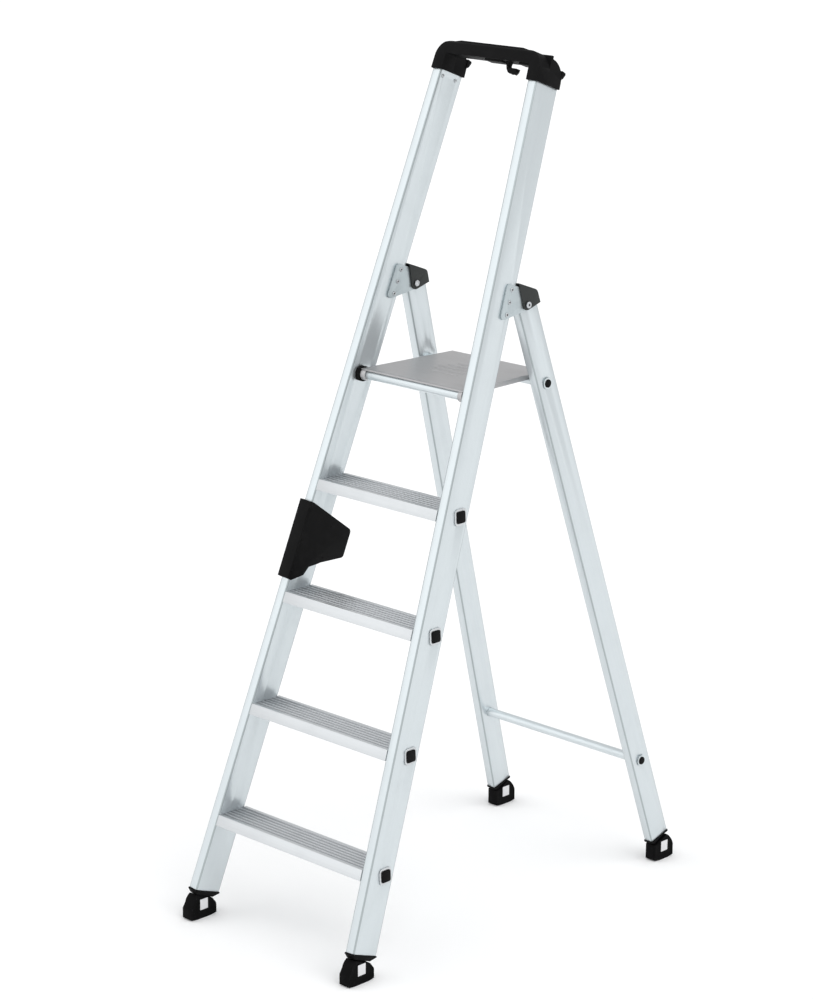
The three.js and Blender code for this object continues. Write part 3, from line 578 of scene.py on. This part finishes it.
def joinedBoxes(name, boxes):
    loops = ((0, 1, 3, 2), (4, 6, 7, 5), (0, 4, 5, 1), (2, 3, 7, 6), (0, 2, 6, 4), (1, 5, 7, 3))
    bm = bmesh.new()
    for low, high in boxes:
        corners = [bm.verts.new((x, y, z)) for x in (low[0], high[0]) for y in (low[1], high[1])
                   for z in (low[2], high[2])]
        for loop in loops:
            bm.faces.new([corners[i] for i in loop])
    mesh = bpy.data.meshes.new(name)
    bm.to_mesh(mesh)
    bm.free()
    return mesh


# cuts the cutter's shape out of a closed mesh
def carve(bm, cutterMesh):
    blank = bpy.data.meshes.new("blank")
    bm.to_mesh(blank)
    body = bpy.data.objects.new("blank", blank)
    tool = bpy.data.objects.new("cutter", cutterMesh)
    for made in (body, tool):
        bpy.context.scene.collection.objects.link(made)
    cut = body.modifiers.new("cut", "BOOLEAN")
    cut.operation, cut.solver, cut.object = "DIFFERENCE", "EXACT", tool
    evaluated = body.evaluated_get(bpy.context.evaluated_depsgraph_get())
    shaped = bpy.data.meshes.new_from_object(evaluated)
    for made in (body, tool):
        bpy.data.objects.remove(made)
    bm.clear()
    bm.from_mesh(shaped)


def shapeShoe(bm):
    low = Vector([min(v.co[i] for v in bm.verts) for i in range(3)])
    high = Vector([max(v.co[i] for v in bm.verts) for i in range(3)])
    middle = (low.x + high.x) / 2
    half = shoes["grooveWidth"] / 2
    near, far = low.y + shoes["grooveEnd"], high.y - shoes["grooveEnd"]
    bottom, top = low.z - shoes["grooveBelow"], low.z + shoes["grooveDepth"]
    cuts = [((middle + x - half, near, bottom), (middle + x + half, far, top))
            for x in shoes["grooves"]]
    carve(bm, joinedBoxes("groovesUnderSole", cuts))
    mergeFlatFaces(bm)
    outermost = shoes["sideFrom"] * (high.x - low.x)
    for way in (-1, 1):
        flank = [f for f in bm.faces if f.normal.x * way > shoes["sideFacing"]
                 and abs(f.calc_center_median().x - middle) > outermost]
        bmesh.ops.inset_region(bm, faces=flank, thickness=shoes["rim"], depth=-shoes["panelDepth"],
                               use_even_offset=True, use_boundary=True)


# shallow turned grooves in the bushes at the ends of the platform's tube, in metres from the
# bush's inner end; axis is where the tube lies, and the surface inside the core stays
bushes = {
    "grooves": (0.0026, 0.0052),
    "width": 0.0007,
    "depth": 0.0009,
    "core": 0.012,
    "axis": (-0.07155, 1.14970),
}
touching = 1e-5  # points this close to a plane lie in it


def shapeBush(side):
    def shape(bm):
        start = min(abs(v.co.x) for v in bm.verts)
        for along in bushes["grooves"]:
            centre = start + along
            for shift in (-bushes["width"], 0.0, bushes["width"]):
                bmesh.ops.bisect_plane(bm, geom=bm.verts[:] + bm.edges[:] + bm.faces[:],
                                       dist=cleaning["weld"], plane_no=(1, 0, 0),
                                       plane_co=(side * (centre + shift), 0, 0))
            for vert in bm.verts:
                away = Vector((0, vert.co.y - bushes["axis"][0], vert.co.z - bushes["axis"][1]))
                inGroove = abs(abs(vert.co.x) - centre) < touching
                if inGroove and away.length > bushes["core"]:
                    vert.co -= away.normalized() * bushes["depth"]
    return shape


# pivot bolts, in metres: the domed head, and the dark disc painted as shade on the floor of its
# hexagon socket, whose outline is in millimetres
bolts = {
    "headRadius": 0.0066,
    "dome": 0.0019,
    "domeSteps": 4,
    "domeCurve": 0.6,
    "socketDepth": 0.0028,
    "socketShade": [(0, 0), (2.45, 0), (2.45, 0.3), (0, 0.3)],
    "socketSides": 6,
}


def shapeBolt(side):
    def shape(bm):
        outer = max(side * v.co.x for v in bm.verts) - touching
        sums = Vector((0, sum(v.co.y for v in bm.verts), sum(v.co.z for v in bm.verts)))
        middle = sums / len(bm.verts)

        def onRim(v):
            away = Vector((0, v.co.y, v.co.z)) - middle
            return side * v.co.x > outer and away.length > bolts["headRadius"]

        rim = [e for e in bm.edges if all(onRim(v) for v in e.verts)]
        bmesh.ops.bevel(bm, geom=rim, offset=bolts["dome"], segments=bolts["domeSteps"],
                        profile=bolts["domeCurve"], affect="EDGES")
    return shape


def shapeFor(name):
    side = -1 if name.endswith("left") else 1
    if name.startswith("shoe_"):
        return shapeShoe
    if name.startswith("platform_bush"):
        return shapeBush(side)
    if name.startswith("pivot_bolt"):
        return shapeBolt(side)
    return None


# gives the chosen faces of a piece another of the metals, such as the lighter and darker copies
# that paint highlight and shade on the treads and corners
def tint(piece, slot, chosen):
    mesh = piece.data
    mesh.materials.append(materials[slot])
    index = len(mesh.materials) - 1
    for face in mesh.polygons:
        if chosen(face):
            face.material_index = index


# ribs of the treads, in metres: how far the tops, painted bright as highlight, and the floors,
# painted dark as shade, lie below the tread's top, and how wide its front and rear edges stay
# plain; upward is for a face's normal
treads = {
    "ridgeBand": 0.0003,
    "floorFrom": 0.0012,
    "floorTo": 0.0022,
    "edgeBand": 0.0085,
    "topWithin": 0.0001,
    "upward": 0.6,
}


def tintTreadLightAndShade(piece, name):
    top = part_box(name)[1][2]
    onTop = [v.co.y for v in piece.data.vertices if abs(v.co.z - top) < treads["topWithin"]]
    front, rear = min(onTop) + treads["edgeBand"], max(onTop) - treads["edgeBand"]

    def isRidge(face):
        return (face.normal.z > treads["upward"] and top - face.center.z < treads["ridgeBand"]
                and front < face.center.y < rear)

    def isGroove(face):
        below = top - face.center.z
        return face.normal.z > treads["upward"] and treads["floorFrom"] < below < treads["floorTo"]

    tint(piece, "tread_ridge_highlight", isRidge)
    tint(piece, "tread_groove_shade", isGroove)


# rounded corners of the extruded members: faces that are neither flat sides nor ends, which get
# a darker metal as painted shade, a dark line standing for the dark reflection along each corner
profileCorner = {"flat": 0.97, "end": 0.1}


def tintCornerShade(piece, turn):
    across, behind, along = (turn @ Vector(axis) for axis in level)

    def isCorner(face):
        flatness = max(abs(face.normal @ across), abs(face.normal @ behind))
        return abs(face.normal @ along) < profileCorner["end"] and flatness < profileCorner["flat"]

    tint(piece, "profile_corner_shade", isCorner)


def refineAll():
    names = [n for n in sorted(nodes) if not n.startswith(("hinge_rivet", "bow_rivet"))]
    for name in names:
        rounding = next((edges[start] for start in edges if name.startswith(start)), otherEdges)
        ownMaterial = name if name in materials else None
        piece = refined(name, rounding, ownMaterial, shapeFor(name))
        side = -1 if name.endswith("left") else 1
        if slotOf[name] == "tread_aluminium":
            tintTreadLightAndShade(piece, name)
        elif name.startswith("stile_"):
            tintCornerShade(piece, stileTurn(side))
        elif name.startswith("rear_leg_"):
            tintCornerShade(piece, legTurn(side))
    print("pieces refined:", len(names))


refineAll()


# closed shape turned round an axis, from points given as radius and height in millimetres
def turnedMesh(name, profile, middle, axis, steps=28):
    turn = Vector(axis).to_track_quat("Z", "Y").to_matrix()
    bm = bmesh.new()
    rings = []
    for radius, height in profile:
        count = steps if radius > 0 else 1
        angles = [2 * math.pi * i / count for i in range(count)]
        points = [Vector((radius * math.cos(a), radius * math.sin(a), height)) for a in angles]
        rings.append([bm.verts.new(middle + turn @ point * millimetre) for point in points])
    for near, far in zip(rings, rings[1:]):
        for i in range(steps):
            j = (i + 1) % steps
            corners = [near[i % len(near)], near[j % len(near)],
                       far[j % len(far)], far[i % len(far)]]
            corners = [c for k, c in enumerate(corners) if c not in corners[:k]]
            if len(corners) > 2:
                bm.faces.new(corners)
    bmesh.ops.recalc_face_normals(bm, faces=bm.faces)
    mesh = bpy.data.meshes.new(name)
    bm.to_mesh(mesh)
    bm.free()
    return mesh


# rivets, in millimetres: heads, and the dark discs painted as shade in their dimples, as radius
# and height above the face they sit on, and how far that face, the disc and a blind rivet's two
# ends lie from the middle of the stile
rivets = {
    "shank": 2.4,
    "hingeFace": 15.6,
    "hingeHead": [(4.6, 0.0), (4.6, 0.5), (4.1, 1.1), (3.2, 1.5),
                  (2.5, 1.6), (2.15, 1.3), (2.05, 0.4), (0, 0.4)],
    "hingeDimpleShade": [(0, 0), (1.9, 0), (1.9, 0.25), (0.7, 0.5), (0, 0.55)],
    "hingeDimpleShadeSeat": 0.35,
    "bowFace": 12.3,
    "bowHead": [(3.8, 0.0), (3.8, 0.4), (3.3, 1.0), (2.4, 1.5),
                (1.5, 1.6), (1.2, 1.3), (1.1, 0.6), (0, 0.6)],
    "bowTail": 5.0,
    "bowHeight": 1.6,
    "bowDimpleShade": [(0, 0), (0.95, 0), (0.95, 0.25), (0.6, 0.5), (0, 0.55)],
    "bowDimpleShadeSeat": 0.55,
    "dimpleShadeSteps": 16,
    "sharpAt": 50.0,
}


def midPoint(name):
    low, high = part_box(name)
    return (Vector(low) + Vector(high)) / 2


def raised(profile, height):
    return [(radius, height + h) for radius, h in profile]


def makeRivet(name, profile, middle, axis):
    mesh = turnedMesh(name, profile, middle, axis)
    rivet = finishPiece(name + "_piece", mesh, "front_frame", "fastener_steel",
                        sharpAt=rivets["sharpAt"])
    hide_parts(name)


# a near-black disc set in the dimple of a rivet head: painted shade for the dimple's darkness
def makeDimpleShade(name, profile, tip, axis):
    dimpleShade = turnedMesh("dimpleShade", profile, tip, axis, rivets["dimpleShadeSteps"])
    finishPiece(name, dimpleShade, "front_frame", "fastener_steel", "recess_shade")


# three through rivets with a head on both hinge plates
def makeHingeRivets(side, across):
    face = rivets["hingeFace"]
    half = [(rivets["shank"], face)] + raised(rivets["hingeHead"], face)
    profile = [(r, -h) for r, h in reversed(half)] + half
    seat = (face + rivets["hingeDimpleShadeSeat"]) * millimetre
    for i in (1, 2, 3):
        name = f"hinge_rivet_{side}_{i}"
        middle = midPoint(name)
        makeRivet(name, profile, middle, across)
        for letter, end in (("a", -1), ("b", 1)):
            makeDimpleShade(f"{name}_pin_{letter}", rivets["hingeDimpleShade"], middle + across * end * seat,
                    across * end)


# two blind rivets through the bow's sleeve into the inner wall of the stile
def makeBowRivets(side, inward):
    face, tail = rivets["bowFace"], rivets["bowTail"]
    profile = [(0, tail), (rivets["shank"], tail), (rivets["shank"], face)]
    profile += raised(rivets["bowHead"], face)
    halfway = (tail + face + rivets["bowHeight"]) / 2 * millimetre
    seat = (face + rivets["bowDimpleShadeSeat"]) * millimetre
    for i in (1, 2):
        name = f"bow_rivet_{side}_{i}"
        middle = midPoint(name) - inward * halfway
        makeRivet(name, profile, middle, inward)
        makeDimpleShade(name + "_pin", rivets["bowDimpleShade"], middle + inward * seat, inward)


def makeRivets():
    for side, way in sides:
        across = stileTurn(way) @ Vector((1, 0, 0))
        makeHingeRivets(side, across)
        makeBowRivets(side, across * -way)


# dark disc on the floor of the hexagon socket in each pivot bolt: painted shade in the recess
def makeBoltSocketShade():
    for side, way in sides:
        low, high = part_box(f"pivot_bolt_{side}")
        outer = high[0] if way > 0 else -low[0]
        middle = Vector((way * (outer - bolts["socketDepth"]),
                         (low[1] + high[1]) / 2, (low[2] + high[2]) / 2))
        floor = turnedMesh("socketShade", bolts["socketShade"], middle, (way, 0, 0),
                           bolts["socketSides"])
        finishPiece(f"bolt_socket_shade_{side}", floor, "rear_frame", "fastener_steel",
                    "recess_shade")


# small screws in the inner wing of the grip pad, in millimetres: how far the wing's face is from
# the middle of the stile, where each screw is behind its front and up it, and the head's profile
gripPad = {
    "face": 16.5,
    "screws": [(-1.5, 925.9), (74.4, 902.7), (-2.4, 861.5), (75.8, 833.6), (-3.6, 791.0)],
    "head": [(0, -0.6), (2.3, -0.6), (2.3, 0.0), (2.0, 0.3), (0.9, 0.35), (0.5, 0.05), (0, 0.05)],
    "steps": 20,
}


def makePadScrews():
    across = stileTurn(-1) @ Vector((1, 0, 0))
    for i, (depth, along) in enumerate(gripPad["screws"]):
        middle = onStile(-1, gripPad["face"], depth, along)
        screw = turnedMesh("padScrew", gripPad["head"], middle, across, gripPad["steps"])
        finishPiece(f"pad_screw_{i + 1}", screw, "front_frame", "black_plastic", "shoe_rubber")


# raised beads on the platform's top so that feet don't slip, in metres; short is how much each
# row is shorter than the one nearer the middle; sections are shares of the width and the height
platformGrip = {
    "rows": 5,
    "pitch": 0.021,
    "length": 0.118,
    "width": 0.006,
    "height": 0.0010,
    "middle": (0.0, 0.060),
    "short": 0.16,
    "sections": ((1.0, -0.2), (0.94, 0.35), (0.72, 0.78), (0.4, 0.97)),
    "endSteps": 10,
    "sharpAt": 60.0,
}


# outline of a bead: two straight sides with a half round at each end
def beadRing(bm, middle, half, radius, height):
    steps = platformGrip["endSteps"]
    reach = half - platformGrip["width"] / 2
    ring = []
    for end in (1, -1):
        for k in range(steps + 1):
            angle = math.pi * (k / steps - 0.5)
            x, y = reach + radius * math.cos(angle), radius * math.sin(angle)
            ring.append(bm.verts.new(middle + Vector((end * x, end * y, height))))
    return ring


def makePlatformGrip():
    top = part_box("platform")[1][2]
    bm = bmesh.new()
    rows = platformGrip["rows"]
    for row in range(rows):
        away = row - (rows - 1) / 2
        half = platformGrip["length"] / 2 * (1 - platformGrip["short"] * abs(away))
        x, y = platformGrip["middle"]
        middle = Vector((x, y + away * platformGrip["pitch"], top))
        rings = [beadRing(bm, middle, half, platformGrip["width"] / 2 * share,
                          platformGrip["height"] * lift)
                 for share, lift in platformGrip["sections"]]
        for near, far in zip(rings, rings[1:]):
            for i in range(len(near)):
                j = (i + 1) % len(near)
                bm.faces.new((near[i], near[j], far[j], far[i]))
        bm.faces.new(rings[-1])
        bm.faces.new(list(reversed(rings[0])))
    bmesh.ops.recalc_face_normals(bm, faces=bm.faces)
    mesh = bpy.data.meshes.new("platformGrip")
    bm.to_mesh(mesh)
    bm.free()
    finishPiece("platform_grip_beads", mesh, "platform", "platform_sheet",
                sharpAt=platformGrip["sharpAt"])


makeRivets()
makeBoltSocketShade()
makePadScrews()
makePlatformGrip()
print("rivets, sockets, screws and beads made")

floorLook = {"half": 60.0, "colour": (0.97, 0.97, 0.97), "rough": 0.8, "shine": 0.1}


def makeFloor():
    mesh = bpy.data.meshes.new("floor_shape")
    half = floorLook["half"]
    corners = [(-half, -half, 0), (half, -half, 0), (half, half, 0), (-half, half, 0)]
    mesh.from_pydata(corners, [], [(0, 1, 2, 3)])
    floor = bpy.data.objects.new("floor", mesh)
    material = bpy.data.materials.new("paleFloor")
    material.use_nodes = True
    shader = material.node_tree.nodes["Principled BSDF"]
    shader.inputs["Base Color"].default_value = (*floorLook["colour"], 1.0)
    shader.inputs["Roughness"].default_value = floorLook["rough"]
    shader.inputs["Specular IOR Level"].default_value = floorLook["shine"]
    mesh.materials.append(material)
    bpy.context.scene.collection.objects.link(floor)


# even sky, and two wide suns: azimuth from the front, height and width of the source in degrees
studio = {
    "sky": (0.985, 0.992, 1.0),
    "skyStrength": 0.80,
    "suns": [
        {"name": "key", "azimuth": 95.0, "height": 52.0, "strength": 0.9, "spread": 60.0},
        {"name": "front", "azimuth": -30.0, "height": 30.0, "strength": 0.75, "spread": 80.0},
    ],
}


# unit vector towards something at this azimuth from the front and this height, in degrees
def direction(azimuth, height):
    turn, rise = math.radians(azimuth), math.radians(height)
    return Vector((math.sin(turn) * math.cos(rise), -math.cos(turn) * math.cos(rise),
                   math.sin(rise)))


def makeLight():
    world = bpy.data.worlds.new("studio")
    bpy.context.scene.world = world
    world.use_nodes = True
    background = world.node_tree.nodes["Background"]
    background.inputs["Color"].default_value = (*studio["sky"], 1.0)
    background.inputs["Strength"].default_value = studio["skyStrength"]
    for use in studio["suns"]:
        lamp = bpy.data.lights.new(use["name"], "SUN")
        lamp.energy = use["strength"]
        lamp.angle = math.radians(use["spread"])
        light = bpy.data.objects.new(use["name"], lamp)
        towards = direction(use["azimuth"], use["height"])
        light.rotation_euler = towards.to_track_quat("Z", "Y").to_euler()
        bpy.context.scene.collection.objects.link(light)
    bpy.context.scene.view_settings.view_transform = "Standard"


# the camera: where it is in metres, how it is turned in degrees, its lens and sensor in
# millimetres, and how far it sees
view = {
    "azimuth": 44.349,
    "pitch": 15.511,
    "roll": 0.311,
    "place": (4.26614, -4.45335, 2.57428),
    "lens": 107.674,
    "sensor": 36.0,
    "shift": (-0.001487, 0.010368),
    "farthest": 200.0,
}


def makeCamera():
    data = bpy.data.cameras.new("camera")
    data.sensor_width = view["sensor"]
    data.lens = view["lens"]
    data.shift_x, data.shift_y = view["shift"]
    data.clip_end = view["farthest"]
    data.dof.use_dof = False
    camera = bpy.data.objects.new("camera", data)
    azimuth = math.radians(view["azimuth"])
    back = direction(view["azimuth"], view["pitch"])
    right = Vector((math.cos(azimuth), math.sin(azimuth), 0))
    turn = Matrix((right, back.cross(right), back)).transposed()
    roll = Matrix.Rotation(math.radians(view["roll"]), 3, "Z")
    camera.matrix_world = Matrix.Translation(view["place"]) @ (turn @ roll).to_4x4()
    bpy.context.scene.collection.objects.link(camera)
    bpy.context.scene.camera = camera


makeFloor()
makeLight()
makeCamera()
print("stage, lights and camera placed")
